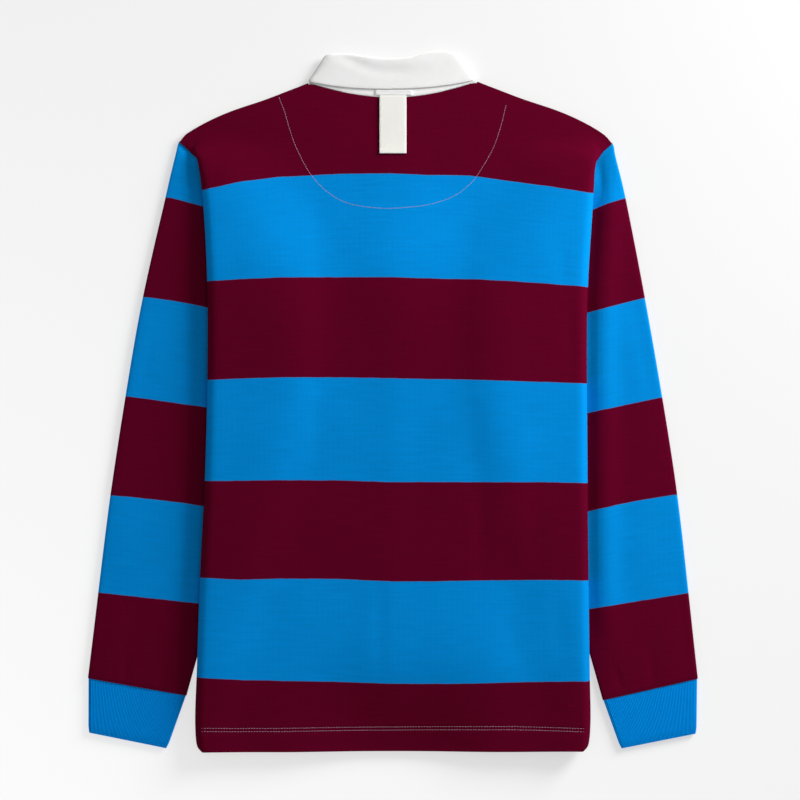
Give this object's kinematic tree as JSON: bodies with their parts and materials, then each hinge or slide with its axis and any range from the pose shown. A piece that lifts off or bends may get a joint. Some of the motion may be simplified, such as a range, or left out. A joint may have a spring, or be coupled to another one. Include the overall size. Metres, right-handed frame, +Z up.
{
  "type": "rugby shirt",
  "caption": "Long-sleeved rugby shirt with wide two-colour hoops and a white twill collar, laid flat on its front with its sides tucked under.",
  "frame": {"origin": "middle of the overall box, on the surface that the shirt lies on", "axes": "+Y from the hem to the collar, +X to the wearer's right as seen from the back, +Z up out of the shirt's back"},
  "size_m": [0.6508, 0.7468, 0.0182],
  "materials": {
    "jersey_knit": "matte",
    "cuff_rib": "matte",
    "collar_twill": "matte",
    "tab_twill": "matte",
    "button_rubber": "satin"
  },
  "bodies": {
    "root": {"back": "jersey_knit", "front": "jersey_knit", "sleeve_left": "jersey_knit", "sleeve_right": "jersey_knit", "cuff_left": "cuff_rib", "cuff_right": "cuff_rib", "collar": "collar_twill", "neck_tab": "tab_twill", "tab_root": "collar_twill", "placket": "collar_twill", "button_1": "button_rubber", "button_2": "button_rubber", "button_3": "button_rubber"}
  },
  "joints": []
}
